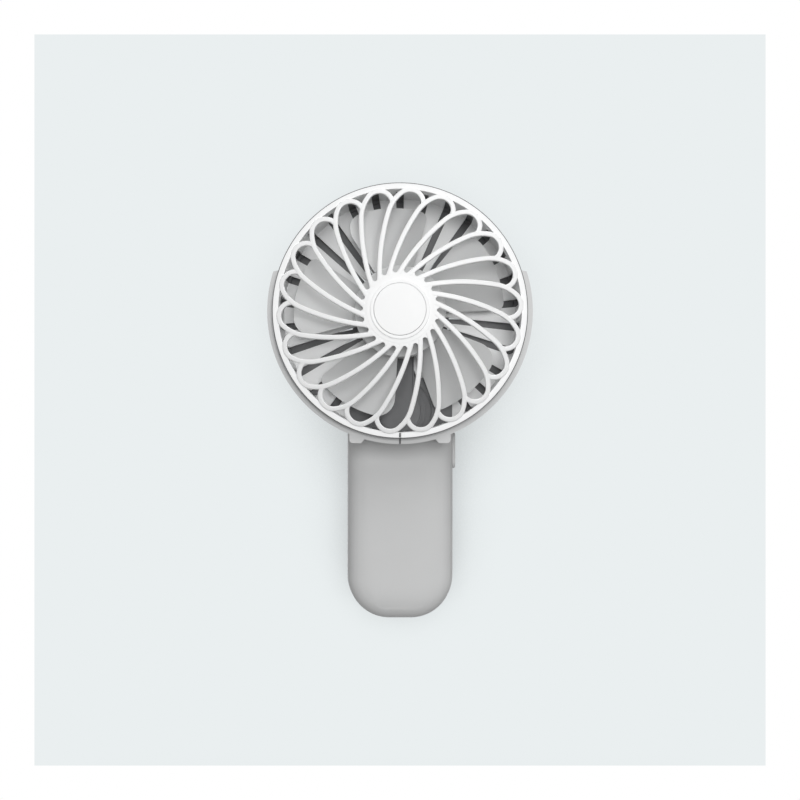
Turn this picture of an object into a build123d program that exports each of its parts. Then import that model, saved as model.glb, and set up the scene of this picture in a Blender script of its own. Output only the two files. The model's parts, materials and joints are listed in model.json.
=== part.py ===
from build123d import *
import math
import os

# Hand crank fan, upright. +Z runs up the handle and the air leaves towards -Y. All sizes are millimetres.
# A depth is counted backwards (+Y) from the front face of the grille's ring, and a height up from the
# bottom of the handle. Each piece is drawn as it is seen from the front, then placed by drawn_at().

# Fits and gaps
snug = 0.05            # between fixed pieces that slip together
running = 0.05         # radial play of a turning fit
side_play = 0.3        # between faces that pass each other
sweep_gap = 0.4        # between the folding head and the handle
end_play = 0.1
root = 0.2             # how far a post or wall sinks into the wall that carries it
far = 200.0            # past every face of the fan

# Handle
handle_width = 42.7
handle_thick = 19.6
handle_corner = 17.0   # bottom corners seen from the front
handle_edge = 4.2      # rounding of the long edges
handle_wall = 1.6
hinge_height = 84.4
hinge_depth = 33.2
fold_limit = 135.0     # degrees that the head folds back

# Fan head
ring_radius = 47.8
ring_width = 2.1
ring_deep = 3.2
axis_rise = 37.4       # fan axis above the hinge axis
hub_rise = 5.7         # flat of the grille's hub in front of the ring
hub_radius = 12.6
collar_radius = 11.0
collar_rise = 0.4
cap_radius = 9.7
cap_rise = 0.2
cap_thick = 1.4
hub_thick = 2.6
rib_count = 22
rib_width = 1.88
rib_deep = 2.0
rib_proud = 0.5        # ribs in front of the ring where they cross it
rib_reach = 45.8       # radius of a rib's centreline at the top of its loop
rib_offset = 8.55      # sideways distance of a rib's root from the line through its loop
rib_root = 10.2        # distance of that root along the same line
rib_lean = 7.8         # heading of the root in degrees
rib_arcs = ((80.0, 19.0), (14.4, 34.4), (5.0, 138.0))   # radius and turn of the three arcs of a rib
rib_phase = 2.6        # direction of the first loop in degrees
dome_radius = 190.0
web_radius = 14.6      # round ends of the gaps between the ribs, about the hub
web_round = 0.92
shell_radius = 48.1    # drum of the rear cover, which the guard sits in
barrel_wall = 1.3
lip_front = 0.2        # thin lip of the drum round the ring
basket_wall = 0.8      # side wall of the rear guard
side_slot_front = 7.5  # where the guard's slots end on its side wall
plate_front = 21.8     # slotted plate of the rear guard
plate_thick = 1.6
slot_count = 30
slot_phase = 6.0
slot_inner = 17.5
slot_width_inner = 2.2
slot_width_outer = 3.0
spigot_deep = 2.0
spigot_thick = 0.8

# Rear cover of the head
cover_gap = 2.0        # air gap behind the guard's plate
cover_thick = 1.6
cover_rim = 2.5
cover_slot_inner = 19.5
cover_slot_outer = 44.5
cover_slot_width = 2.6
block_half = 20.6
block_top = 12.6       # top of the block above the hinge axis
block_front = 20.2
block_corner = 6.0
moat_inner = 10.2
moat_outer = 12.4
moat_deep = 1.0
boss_drop = 38.0       # centre of the round end of the lead cover below the fan axis
boss_radius = 8.7
lead_cover_half = 5.5
lead_cover_front = 19.0
lip_wide = 0.6
lip_rise = 0.5
cover_screw_circle = 14.0
arm_trim = 3.0         # height taken off the underside of the hinge arm

# Cradle under the head
cradle_thick = 2.15
cradle_front = 3.4
cradle_rise = 19.0     # degrees above level where the cradle ends
cradle_taper = 32.0    # slope of the tapered ends in degrees
tab_outer = 19.2
tab_inner_top = 13.0
tab_inner_bottom = 14.8
tab_drop = 49.95       # bottom of the tabs below the fan axis
tab_corner = 1.5
tab_slant = 1.9        # height of the slanted foot of a tab's inner edge
mark_width = 0.8
mark_deep = 0.7

# Impeller
blade_count = 5
blade_phase = 26.5
blade_span = 48.5      # degrees
blade_radius = 40.7
blade_front = 5.6      # depth of the near edge
blade_back = 16.8      # depth of the far edge
blade_thick = 1.2
blade_round_near = 8.0
blade_round_far = 3.0
blade_overrun = 2.0    # the blade's surface before it is trimmed to its outline
blade_overturn = 4.85  # the same in degrees
cup_radius = 17.4
cup_front = 2.6
cup_back = 17.4
cup_wall = 1.4
cup_boss = 3.2
cup_boss_long = 3.0
cup_round = 1.0

# Fan motor
motor_radius = 11.9
motor_front = 6.6
motor_back = 19.4
motor_wall = 0.9
shaft_radius = 1.0
bush_radius = 2.6
bush_long = 1.8
magnet_thick = 1.1
air_gap = 0.35
armature_end_gap = 1.0
motor_screw_circle = 7.5
motor_round = 0.8
magnet_gap = 5.0
pole_slot_inner = 4.0
pole_slot_width = 1.6

# Hinge
knuckle_half = 12.0
pin_radius = 2.0
hinge_cap_radius = 5.2
hinge_cap_thick = 1.2
washer_radius = 6.5
washer_thick = 0.22

# Crank in the back of the handle
crank_height = 36.0
crank_radius = 17.6
crank_recess_deep = 5.2
crank_floor = 1.2
crank_proud = 0.6
stub_radius = 2.5
crank_bush_radius = 3.7
crank_round = 1.2
peg_hinge_rise = 12.5  # peg hinge above the crank's centre
peg_long = 23.0
peg_width = 8.0
peg_thick = 3.8
peg_pin_radius = 0.75
peg_heel = 2.0
peg_sunk = 0.1         # the peg's outer face below the disc's
peg_pin_half = 7.0
scoop_radius = 6.5
scoop_floor = 1.2
groove_floor = 1.2

# Gear train
module = 0.5
pressure_angle = 25.0
wheel_teeth = 48
pinion_teeth = 12
dedendum = 1.2         # in modules
flank_points = 4
backlash = 0.14
gear_thick = 2.2
layer_gap = 0.4
idler_direction = -70.0
dynamo_direction = -158.0
axle_radius = 1.0
axle_seat = 0.8
gear_plate_thick = 0.8
gear_plate_corner = 3.0
dynamo_radius = 8.0
dynamo_wall = 0.7
rotor_radius = 3.4
coil_count = 6
coil_gap = 1.2
coil_yoke = 0.8

# Battery, board, switch and socket
battery_width = 24.0
battery_tall = 34.0
battery_thick = 4.6
battery_bottom = 30.0
battery_corner = 1.4
board_left = -12.5
board_right = 17.5
board_bottom = 49.5
board_top = 70.8
board_thick = 1.0
board_front = 32.0
button_bottom = 60.5
button_top = 75.0
button_wide = 5.0
button_proud = 1.06
button_travel = 0.6
button_flange = 0.8
button_flange_thick = 0.7
button_gap = 0.15
button_round = 0.6
stem_radius = 1.2
stem_long = 0.7
switch_tall = 4.6
switch_deep = 3.0
switch_long = 2.6
plunger_radius = 0.9
plunger_long = 0.5
socket_height = 54.1
socket_wide = 8.94
socket_deep = 3.2
socket_long = 7.3
socket_wall = 0.3
socket_back_wall = 1.2
tongue_wide = 6.4
tongue_thick = 0.7
tongue_short = 0.8     # behind the socket's mouth
socket_opening_gap = 0.25

# Screws
screw_radius = 1.0
screw_head_radius = 1.9
screw_head_thick = 1.0
post_radius = 2.3
side_post_x = 15.5
side_post_height = 62.0
bottom_post_height = 4.9
screw_bite = 5.0       # thread in the front posts

# Worked out from the sizes above
fan_height = hinge_height + axis_rise
handle_front = hinge_depth - handle_thick / 2
handle_back = hinge_depth + handle_thick / 2
knuckle_radius = handle_thick / 2
block_back = handle_front - sweep_gap
ring_inner = ring_radius - ring_width
barrel_inner = shell_radius - barrel_wall
plate_back = plate_front + plate_thick
cover_front = plate_back + cover_gap
cover_back = cover_front + cover_thick
hub_face = -hub_rise
cap_face = hub_face - collar_rise - cap_rise
crank_back = handle_back + crank_proud
mid_depth = (cap_face + crank_back) / 2
inner_half = handle_width / 2 - handle_wall
cavity_front = handle_front + handle_wall
cavity_back = handle_back - handle_wall
cavity_top = hinge_height - knuckle_radius - side_play - handle_wall
crank_face = crank_back - crank_proud - crank_recess_deep
layer_a_back = crank_face - crank_floor - layer_gap
layer_a_front = layer_a_back - gear_thick
layer_b_back = layer_a_front - layer_gap
layer_b_front = layer_b_back - gear_thick
gear_plate_back = layer_b_front - side_play
gear_plate_front = gear_plate_back - gear_plate_thick
axle_back = crank_face - crank_floor + axle_seat
centre_distance = module * (wheel_teeth + pinion_teeth) / 2
idler_x = centre_distance * math.cos(math.radians(idler_direction))
idler_height = crank_height + centre_distance * math.sin(math.radians(idler_direction))
dynamo_x = idler_x + centre_distance * math.cos(math.radians(dynamo_direction))
dynamo_height = idler_height + centre_distance * math.sin(math.radians(dynamo_direction))
button_height = (button_bottom + button_top) / 2
button_tall = button_top - button_bottom
button_inner = inner_half - button_flange_thick - snug


def drawn_at(x, height):
    """Places a piece drawn in the front view: its x stays, its y is height, its -z is depth."""
    return Location((x, -mid_depth, height), (90, 0, 0))


def between(front, back, face):
    """Extrudes a front-view face from one depth to another."""
    return Pos(0, 0, -back) * extrude(face, amount=back - front)


def rod(radius, front, back):
    return between(front, back, Circle(radius))


def tube(outer, inner, front, back):
    return between(front, back, Circle(outer) - Circle(inner))


def polar(radius, degrees):
    return radius * math.cos(math.radians(degrees)), radius * math.sin(math.radians(degrees))


def turned(count, phase, shape):
    return [Rot(0, 0, phase + 360 / count * i) * shape for i in range(count)]


def crosswise(radius, left, right, height, depth):
    """A cylinder along X in world places, between two x values."""
    bar = Cylinder(radius, right - left, rotation=(0, 90, 0))
    return Pos((left + right) / 2, depth - mid_depth, height) * bar


def world_box(left, right, front, back, bottom, top):
    """A box from x, depth and height limits."""
    centre = Pos((left + right) / 2, (front + back) / 2 - mid_depth, (bottom + top) / 2)
    return centre * Box(right - left, back - front, top - bottom)


# ---- fan head ----

def rib_web():
    """Disc that joins the ribs round the hub, with a round bite between each two of them."""
    heading = math.radians(rib_lean)
    along = rib_root * math.cos(heading) + rib_offset * math.sin(heading)
    run = math.sqrt(along ** 2 - rib_root ** 2 - rib_offset ** 2 + web_radius ** 2) - along
    rib_y = rib_offset + run * math.sin(heading)
    gap = math.degrees(math.asin(rib_y / web_radius)) + 180 / rib_count
    bite = Pos(web_radius, 0) * Circle(web_round)
    return Circle(web_radius) - turned(rib_count, rib_phase + gap, bite)


def rib_face():
    """One J-shaped rib, with its loop on the +X side."""
    heading = math.radians(rib_lean)
    start = (rib_root, rib_offset)
    direction = (math.cos(heading), math.sin(heading))
    arcs = []
    for radius, turn in rib_arcs:
        arc = JernArc(start=start, tangent=direction, radius=radius, arc_size=-turn)
        arcs.append(arc)
        start = arc @ 1
        direction = arc % 1
    return trace(Wire(arcs), line_width=rib_width)


def dome(height_at_reach, radius):
    """A ball whose surface stands at the given height over the rib's reach."""
    drop = math.sqrt(dome_radius ** 2 - rib_reach ** 2)
    return Pos(0, 0, height_at_reach - drop) * Sphere(radius)


def front_grille():
    ribs = rib_web() + turned(rib_count, rib_phase, rib_face())
    shell = dome(rib_proud, dome_radius) - dome(rib_proud, dome_radius - rib_deep)
    cage = between(hub_face, ring_deep, ribs) & shell
    ring = tube(ring_radius, ring_inner, 0, ring_deep)
    spigot_outer = barrel_inner - snug
    spigot = tube(spigot_outer, spigot_outer - spigot_thick, ring_deep, ring_deep + spigot_deep)
    hub = rod(hub_radius, hub_face, hub_face + hub_thick)
    collar = rod(collar_radius, hub_face - collar_rise, hub_face)
    seat = rod(cap_radius + snug, hub_face - collar_rise, cap_face + cap_thick)
    mark = between(0, mark_deep, Pos(0, -ring_radius) * Rectangle(mark_width, 2 * ring_width))
    grille = cage + ring + spigot + hub + collar - seat - mark
    return drawn_at(0, fan_height) * grille


def hub_cap():
    cap = rod(cap_radius, cap_face, cap_face + cap_thick)
    cap = chamfer(cap.edges().group_by(Axis.Z)[-1], cap_rise)
    return drawn_at(0, fan_height) * cap


def radial_slot(inner, outer, wide_inner, wide_outer):
    a, b = wide_inner / 2, wide_outer / 2
    return make_face(Polyline((inner, -a), (outer, -b), (outer, b), (inner, a), close=True))


def handle_sweep():
    """The space that the handle's top takes from the head, in world places."""
    half = handle_width / 2 + sweep_gap
    reach = knuckle_radius + sweep_gap
    round_top = crosswise(reach, -half, half, hinge_height, hinge_depth)
    below = world_box(-half, half, block_back, handle_back, 0, hinge_height)
    return round_top + below


def block_outline(clearance):
    """Front outline of the block between head and handle, about the fan axis, run on past the barrel."""
    half = block_half + clearance
    top = block_top + clearance - axis_rise
    bottom = -shell_radius - block_corner
    box = Pos(0, (top + bottom) / 2) * Rectangle(2 * half, top - bottom)
    return fillet(box.vertices().group_by(Axis.Y)[-1], block_corner + clearance)


def rear_guard():
    """Basket inside the drum: a slotted plate whose slots run on up its side wall."""
    outer = barrel_inner - snug
    wall = tube(outer, outer - basket_wall, ring_deep + spigot_deep + snug, plate_front)
    basket = wall + rod(outer, plate_front, plate_back)
    slot = radial_slot(slot_inner, shell_radius, slot_width_inner, slot_width_outer)
    basket -= between(side_slot_front, plate_back, Sketch() + turned(slot_count, slot_phase, slot))
    window_front = lead_cover_front - lip_rise - snug
    basket -= between(window_front, plate_back, block_outline(snug))
    post = Pos(cover_screw_circle, 0) * rod(post_radius, plate_back, cover_front)
    hole = Pos(cover_screw_circle, 0) * rod(screw_radius, plate_front, cover_front)
    guard = basket + turned(3, 90, post) - turned(3, 90, hole)
    for side in (-1, 1):
        guard -= Pos(side * motor_screw_circle, 0) * rod(screw_radius, plate_front, plate_back)
    guard -= rod(bush_radius, plate_front, plate_back)
    half = handle_width / 2 + sweep_gap
    top = hinge_height + knuckle_radius + sweep_gap
    return drawn_at(0, fan_height) * guard - world_box(-half, half, block_back, handle_back, 0, top)


def rear_cover():
    drum = tube(shell_radius, barrel_inner, ring_deep, cover_back)
    lip = tube(shell_radius, ring_radius + snug, lip_front, ring_deep)
    lip -= between(0, mark_deep, Pos(0, -shell_radius) * Rectangle(mark_width, 2 * ring_width))
    rim = tube(shell_radius, shell_radius - cover_rim, plate_back + snug, cover_back)
    slot = radial_slot(cover_slot_inner, cover_slot_outer, cover_slot_width, cover_slot_width)
    face = Circle(shell_radius) - turned(slot_count, slot_phase + 180 / slot_count, slot)
    plate = between(cover_front, cover_back, face)
    hole = Pos(cover_screw_circle, 0) * rod(screw_radius + snug, cover_front, cover_back)
    seat = Pos(cover_screw_circle, 0) * rod(
        screw_head_radius + snug, cover_back - screw_head_thick, cover_back)
    shell = drum + lip + rim + plate - turned(3, 90, hole) - turned(3, 90, seat)
    shell = drawn_at(0, fan_height) * shell - handle_sweep()
    block = between(block_front, block_back, block_outline(0) & Circle(barrel_inner + root))
    moat = Pos(0, -boss_drop) * tube(moat_outer, moat_inner, block_front, block_front + moat_deep)
    block = drawn_at(0, fan_height) * (block - moat)
    roof_bottom = hinge_height + knuckle_radius + sweep_gap
    roof_half = block_half - block_corner
    roof_top = hinge_height + block_top
    roof = world_box(-roof_half, roof_half, block_front, cover_back, roof_bottom, roof_top)
    radius = knuckle_radius - side_play
    knuckle = crosswise(radius, -knuckle_half, knuckle_half, hinge_height, hinge_depth)
    arm = world_box(-knuckle_half, knuckle_half, block_back, hinge_depth,
                    hinge_height - radius + arm_trim, hinge_height + radius)
    bore = crosswise(pin_radius + running, -knuckle_half, knuckle_half, hinge_height, hinge_depth)
    return shell + block + roof + knuckle + arm - bore


def keyhole_face(inset):
    """Strut from the motor down to the round end."""
    half = lead_cover_half - inset
    top = -motor_radius - snug
    strut = Pos(0, (top - boss_drop) / 2) * Rectangle(2 * half, top + boss_drop)
    return strut + Pos(0, -boss_drop) * Circle(boss_radius - inset)


def lead_cover():
    plate = between(lead_cover_front, block_front, keyhole_face(0))
    lip = between(lead_cover_front - lip_rise, lead_cover_front, keyhole_face(0) - keyhole_face(lip_wide))
    below_block = block_top - axis_rise + snug
    top = -motor_radius - snug
    foot = Pos(0, (top + below_block) / 2) * Rectangle(2 * lead_cover_half, top - below_block)
    feet = between(block_front, plate_front, foot)
    return drawn_at(0, fan_height) * (plate + lip + feet)


def head_cradle():
    outer = shell_radius + snug + cradle_thick
    band = Circle(outer) - Circle(shell_radius + snug)
    x, y = polar(shell_radius, cradle_rise)
    for side in (-1, 1):
        tilt = side * (cradle_rise - cradle_taper)
        upper_half = Pos(0, far / 2) * Rectangle(2 * far, far)
        band -= Pos(side * x, y) * Rot(0, 0, tilt) * upper_half
        tab = make_face(Polyline(
            (side * tab_outer, -tab_drop), (side * tab_outer, -ring_inner),
            (side * tab_inner_top, -ring_inner), (side * tab_inner_top, -tab_drop + tab_slant),
            (side * tab_inner_bottom, -tab_drop), close=True))
        corner = tab.vertices().sort_by_distance((side * tab_outer, -tab_drop))[0]
        tab = fillet(corner, tab_corner)
        band += tab - Circle(shell_radius + snug)
    cradle = between(cradle_front, block_back, band)
    mark = Pos(0, -outer) * Rectangle(mark_width, 2 * cradle_thick)
    cradle -= between(cradle_front, cradle_front + mark_deep, mark)
    return drawn_at(0, fan_height) * cradle


def cover_screws():
    head = Pos(cover_screw_circle, 0) * rod(screw_head_radius, cover_back - screw_head_thick, cover_back)
    shank = Pos(cover_screw_circle, 0) * rod(screw_radius, plate_front, cover_back - screw_head_thick)
    return drawn_at(0, fan_height) * Compound(turned(3, 90, head + shank))


# ---- impeller and fan motor ----

def blade_surface():
    """The blade's middle surface, a helicoid through a grid of points from the far edge to the near edge."""
    rows, columns = 7, 5
    inner, outer = cup_radius - blade_overrun, blade_radius + blade_overrun
    half = blade_span / 2 + blade_overturn
    grid = []
    for i in range(rows):
        angle = half * (2 * i / (rows - 1) - 1)
        depth = (blade_front + blade_back) / 2 + (blade_front - blade_back) * angle / blade_span
        radii = [inner + (outer - inner) * j / (columns - 1) for j in range(columns)]
        grid.append([(*polar(radius, angle), -depth) for radius in radii])
    return Face.make_surface_from_array_of_points(grid)


def blade_outline():
    """Seen from the front: a sector with a wide round on the near corner and a small one on the far."""
    half = blade_span / 2
    inner = cup_radius - cup_wall / 2
    sector = make_face([
        Line(polar(inner, -half), polar(blade_radius, -half)),
        ThreePointArc(polar(blade_radius, -half), polar(blade_radius, 0), polar(blade_radius, half)),
        Line(polar(blade_radius, half), polar(inner, half)),
        ThreePointArc(polar(inner, half), polar(inner, 0), polar(inner, -half))])
    near_corner = sector.vertices().sort_by_distance(polar(blade_radius, half))[0]
    sector = fillet(near_corner, blade_round_near)
    far_corner = sector.vertices().sort_by_distance(polar(blade_radius, -half))[0]
    return fillet(far_corner, blade_round_far)


def blade():
    sheet = thicken(blade_surface(), amount=blade_thick / 2, both=True)
    return sheet & between(cup_front, cup_back + blade_thick, blade_outline())


def impeller():
    cup = rod(cup_radius, cup_front, cup_back)
    cup = fillet(cup.edges().group_by(Axis.Z)[-1], cup_round)
    cup -= rod(cup_radius - cup_wall, cup_front + cup_wall, cup_back)
    boss = rod(cup_boss, cup_front + cup_wall, cup_front + cup_boss_long)
    fan = cup + boss + turned(blade_count, blade_phase, blade())
    fan -= rod(cup_radius - cup_wall, cup_front + cup_boss_long, cup_back)
    fan -= rod(shaft_radius, cup_front + cup_wall / 2, cup_back)
    return drawn_at(0, fan_height) * fan


def motor_shaft():
    return drawn_at(0, fan_height) * rod(shaft_radius, cup_front + cup_wall / 2, plate_back)


def motor_can():
    can = rod(motor_radius, motor_front, motor_back)
    can = fillet(can.edges().group_by(Axis.Z)[-1], motor_round)
    can -= rod(motor_radius - motor_wall, motor_front + motor_wall, motor_back)
    can -= rod(bush_radius, motor_front, motor_front + motor_wall)
    return drawn_at(0, fan_height) * can


def motor_bushes():
    front = tube(bush_radius, shaft_radius + running / 2, motor_front, motor_front + bush_long)
    back = tube(bush_radius, shaft_radius + running / 2, motor_back, motor_back + bush_long)
    return drawn_at(0, fan_height) * Compound([front, back])


def motor_magnets():
    outer = motor_radius - motor_wall
    inner = outer - magnet_thick
    front = motor_front + motor_wall + armature_end_gap
    back = motor_back - armature_end_gap
    ring = tube(outer, inner, front, back)
    gap = between(front, back, Rectangle(2 * outer, magnet_gap))
    return drawn_at(0, fan_height) * (ring - gap)


def motor_end_cap():
    cap = tube(motor_radius, bush_radius, motor_back, plate_front)
    for side in (-1, 1):
        cap -= Pos(side * motor_screw_circle, 0) * rod(screw_radius, motor_back, plate_front)
    return drawn_at(0, fan_height) * cap


def armature():
    """Three-pole armature on the motor's shaft."""
    radius = motor_radius - motor_wall - magnet_thick - air_gap
    front = motor_front + bush_long + armature_end_gap
    back = motor_back - armature_end_gap
    core = tube(radius, shaft_radius, front, back)
    slot = radial_slot(pole_slot_inner, motor_radius, pole_slot_width, pole_slot_width)
    winding_slot = between(front, back, slot)
    return drawn_at(0, fan_height) * (core - turned(3, 90, winding_slot))


def motor_screws():
    screws = []
    for side in (-1, 1):
        shank = rod(screw_radius, motor_back + snug, plate_back)
        head = rod(screw_head_radius, plate_back, plate_back + screw_head_thick)
        screws.append(Pos(side * motor_screw_circle, 0) * (shank + head))
    return drawn_at(0, fan_height) * Compound(screws)


# ---- handle ----

def handle_face(inset):
    """Front outline of the handle up to the hinge axis."""
    half = handle_width / 2 - inset
    top = hinge_height + knuckle_radius
    face = Pos(0, (top + inset) / 2) * Rectangle(2 * half, top - inset)
    corners = face.vertices().group_by(Axis.Y)[0]
    return fillet(corners, handle_corner - inset)


def side_stadium():
    """Limits the handle's top to a round about the hinge axis."""
    half = handle_width / 2
    round_top = crosswise(knuckle_radius, -half, half, hinge_height, hinge_depth)
    return round_top + world_box(-half, half, handle_front, handle_back, 0, hinge_height)


def fold_relief():
    """How far below the hinge axis the hinge arm reaches over the handle's back when the head is folded."""
    fold = math.radians(fold_limit)
    arm_top = knuckle_radius - side_play
    along = math.sqrt((knuckle_radius + side_play) ** 2 - arm_top ** 2)
    return side_play - arm_top * math.cos(fold) - along * math.sin(fold)


def handle_body():
    body = between(handle_front, handle_back, handle_face(0))
    rims = body.edges().filter_by(Plane.XY)
    below_top = [edge for edge in rims if edge.center().Y < hinge_height + knuckle_radius - snug]
    body = drawn_at(0, 0) * fillet(below_top, handle_edge)
    body = body & side_stadium()
    cavity = between(cavity_front, cavity_back, handle_face(handle_wall))
    cavity = drawn_at(0, 0) * cavity & world_box(-far, far, 0, far, 0, cavity_top)
    body -= cavity
    half = knuckle_half + side_play
    body -= crosswise(knuckle_radius + side_play, -half, half, hinge_height, hinge_depth)
    body -= world_box(-half, half, handle_front, handle_back, hinge_height, hinge_height + knuckle_radius)
    body -= world_box(-half, half, handle_front, hinge_depth, hinge_height - knuckle_radius, hinge_height)
    body -= world_box(-half, half, hinge_depth, handle_back, hinge_height - fold_relief(), hinge_height)
    half = handle_width / 2
    body -= crosswise(pin_radius, -half, half, hinge_height, hinge_depth)
    for side in (-1, 1):
        a, b = sorted((side * half, side * (half - hinge_cap_thick)))
        body -= crosswise(hinge_cap_radius + snug, a, b, hinge_height, hinge_depth)
    return body - button_space() - socket_space()


def slot_outline(tall, wide, left, right, height):
    """A round-ended bar along Z, sunk from one x to another, at mid handle."""
    face = SlotOverall(tall, wide)
    bar = extrude(Rot(0, 0, 90) * face, amount=right - left)
    return Pos(left, hinge_depth - mid_depth, height) * Rot(0, 90, 0) * Rot(0, 0, 90) * bar


def button_space():
    outer = handle_width / 2 + button_proud
    grow = 2 * button_gap
    window = slot_outline(button_tall + grow, button_wide + grow, button_inner, outer, button_height)
    grow = 2 * (button_flange + side_play)
    pocket_inner = button_inner - button_travel - side_play
    pocket = slot_outline(button_tall + grow, button_wide + grow, pocket_inner, inner_half, button_height)
    return window + pocket


def side_button():
    outer = handle_width / 2 + button_proud
    cap = slot_outline(button_tall, button_wide, button_inner, outer, button_height)
    cap = fillet(cap.edges().group_by(Axis.X)[-1], button_round)
    flange = slot_outline(button_tall + 2 * button_flange, button_wide + 2 * button_flange,
                          button_inner, inner_half - snug, button_height)
    stem = crosswise(stem_radius, button_inner - stem_long, button_inner, button_height, hinge_depth)
    return cap + flange + stem


def socket_box(grow, left, right):
    depth = board_front + board_thick + socket_deep / 2
    face = SlotOverall(socket_wide + 2 * grow, socket_deep + 2 * grow)
    bar = extrude(Rot(0, 0, 90) * face, amount=right - left)
    return Pos(left, depth - mid_depth, socket_height) * Rot(0, 90, 0) * Rot(0, 0, 90) * bar


def socket_space():
    gap = socket_opening_gap
    return socket_box(gap, inner_half - gap, handle_width / 2 + gap)


def usb_socket():
    right = inner_half + handle_wall / 2
    left = right - socket_long
    shell = socket_box(0, left, right)
    shell -= socket_box(-socket_wall, left + socket_back_wall, right)
    middle = board_front + board_thick + socket_deep / 2
    tongue = world_box(left, right - tongue_short, middle - tongue_thick / 2, middle + tongue_thick / 2,
                       socket_height - tongue_wide / 2, socket_height + tongue_wide / 2)
    return shell + tongue


def post_places():
    return ((-side_post_x, side_post_height), (side_post_x, side_post_height), (0, bottom_post_height))


def handle_front_shell():
    half = world_box(-far, far, 0, hinge_depth, 0, far)
    shell = handle_body() & half
    for x, height in post_places():
        post = tube(post_radius, screw_radius, cavity_front - root, hinge_depth)
        shell += drawn_at(x, height) * post
    return shell


def handle_rear_shell():
    half = world_box(-far, far, hinge_depth, far, 0, far)
    shell = handle_body() & half
    floor = rod(crank_radius + side_play + handle_wall, crank_face - crank_floor, cavity_back + root)
    recess = rod(crank_radius + side_play, crank_face, crank_back)
    hole = rod(crank_bush_radius, crank_face - crank_floor, crank_face)
    inside = drawn_at(0, 0) * between(hinge_depth, handle_back, handle_face(handle_wall / 2))
    cup = drawn_at(0, crank_height) * floor & inside
    shell = shell + cup - drawn_at(0, crank_height) * recess - drawn_at(0, crank_height) * hole
    for x, height in post_places():
        shell += drawn_at(x, height) * rod(post_radius, hinge_depth, cavity_back + root)
        shell -= drawn_at(x, height) * rod(screw_radius + snug, hinge_depth, handle_back)
        seat = rod(screw_head_radius + snug, handle_back - 2 * screw_head_thick, handle_back)
        shell -= drawn_at(x, height) * seat
    return shell - drawn_at(idler_x, idler_height) * rod(axle_radius, crank_face - crank_floor, axle_back)


def handle_screws():
    screws = []
    for x, height in post_places():
        head_back = handle_back - screw_head_thick
        head_front = head_back - screw_head_thick
        shank = rod(screw_radius, hinge_depth - screw_bite, head_front)
        head = rod(screw_head_radius, head_front, head_back)
        screws.append(drawn_at(x, height) * (shank + head))
    return Compound(screws)


def hinge_pin():
    end = handle_width / 2 - hinge_cap_thick
    return crosswise(pin_radius, -end, end, hinge_height, hinge_depth)


def hinge_caps():
    caps = []
    for side in (-1, 1):
        a, b = sorted((side * handle_width / 2, side * (handle_width / 2 - hinge_cap_thick)))
        caps.append(crosswise(hinge_cap_radius, a, b, hinge_height, hinge_depth))
    return Compound(caps)


def hinge_washers():
    washers = []
    for side in (-1, 1):
        middle = side * (knuckle_half + side_play / 2)
        a, b = middle - washer_thick / 2, middle + washer_thick / 2
        disc = crosswise(washer_radius, a, b, hinge_height, hinge_depth)
        washers.append(disc - crosswise(pin_radius + running, a, b, hinge_height, hinge_depth))
    return Compound(washers)


# ---- crank and gears ----

def gear_face(teeth, bore):
    """A spur gear seen along its axis, with a tooth centred on +X."""
    pitch = module * teeth / 2
    base = pitch * math.cos(math.radians(pressure_angle))
    tip = pitch + module
    bottom = pitch - dedendum * module
    half_tooth = math.pi / (2 * teeth) - backlash / 4 / pitch
    involute_pitch = math.tan(math.radians(pressure_angle)) - math.radians(pressure_angle)

    def flank(radius):
        if radius <= base:
            return half_tooth + involute_pitch
        angle = math.acos(base / radius)
        return half_tooth + involute_pitch - (math.tan(angle) - angle)

    def spot(radius, turn):
        return radius * math.cos(turn), radius * math.sin(turn)

    first = max(base, bottom)
    radii = [first + (tip - first) * i / (flank_points - 1) for i in range(flank_points)]
    edges = []
    for i in range(teeth):
        middle = 2 * math.pi * i / teeth
        following = 2 * math.pi * (i + 1) / teeth
        tip_half = flank(tip)
        if bottom < base:
            edges.append(Line(spot(bottom, middle - flank(bottom)), spot(base, middle - flank(base))))
        edges.append(Spline([spot(radius, middle - flank(radius)) for radius in radii]))
        corners = spot(tip, middle - tip_half), spot(tip, middle + tip_half)
        edges.append(ThreePointArc(corners[0], spot(tip, middle), corners[1]))
        edges.append(Spline([spot(radius, middle + flank(radius)) for radius in reversed(radii)]))
        if bottom < base:
            edges.append(Line(spot(base, middle + flank(base)), spot(bottom, middle + flank(bottom))))
        a, b = middle + flank(bottom), following - flank(bottom)
        edges.append(ThreePointArc(spot(bottom, a), spot(bottom, (a + b) / 2), spot(bottom, b)))
    return make_face(edges) - Circle(bore)


def meshed_phase(driver_teeth, driver_phase, driven_teeth, direction):
    """Turn of a driven gear so that its gap meets the driver's tooth on the line of centres."""
    driver_share = (direction - driver_phase) / (360 / driver_teeth)
    return direction + 180 - (0.5 - driver_share) * 360 / driven_teeth


def crank_gear():
    wheel = between(layer_a_front, layer_a_back, gear_face(wheel_teeth, stub_radius))
    return drawn_at(0, crank_height) * wheel


def idler_phase():
    return meshed_phase(wheel_teeth, 0, pinion_teeth, idler_direction)


def idler_gear():
    bore = axle_radius + running
    pinion = between(layer_b_back, layer_a_back, gear_face(pinion_teeth, bore))
    wheel = between(layer_b_front, layer_b_back, gear_face(wheel_teeth, bore))
    return drawn_at(idler_x, idler_height) * Rot(0, 0, idler_phase()) * (pinion + wheel)


def dynamo_pinion():
    turn = meshed_phase(wheel_teeth, idler_phase(), pinion_teeth, dynamo_direction)
    pinion = between(layer_b_front, layer_b_back, gear_face(pinion_teeth, axle_radius))
    return drawn_at(dynamo_x, dynamo_height) * Rot(0, 0, turn) * pinion


def idler_axle():
    return drawn_at(idler_x, idler_height) * rod(axle_radius, gear_plate_front, axle_back)


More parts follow.
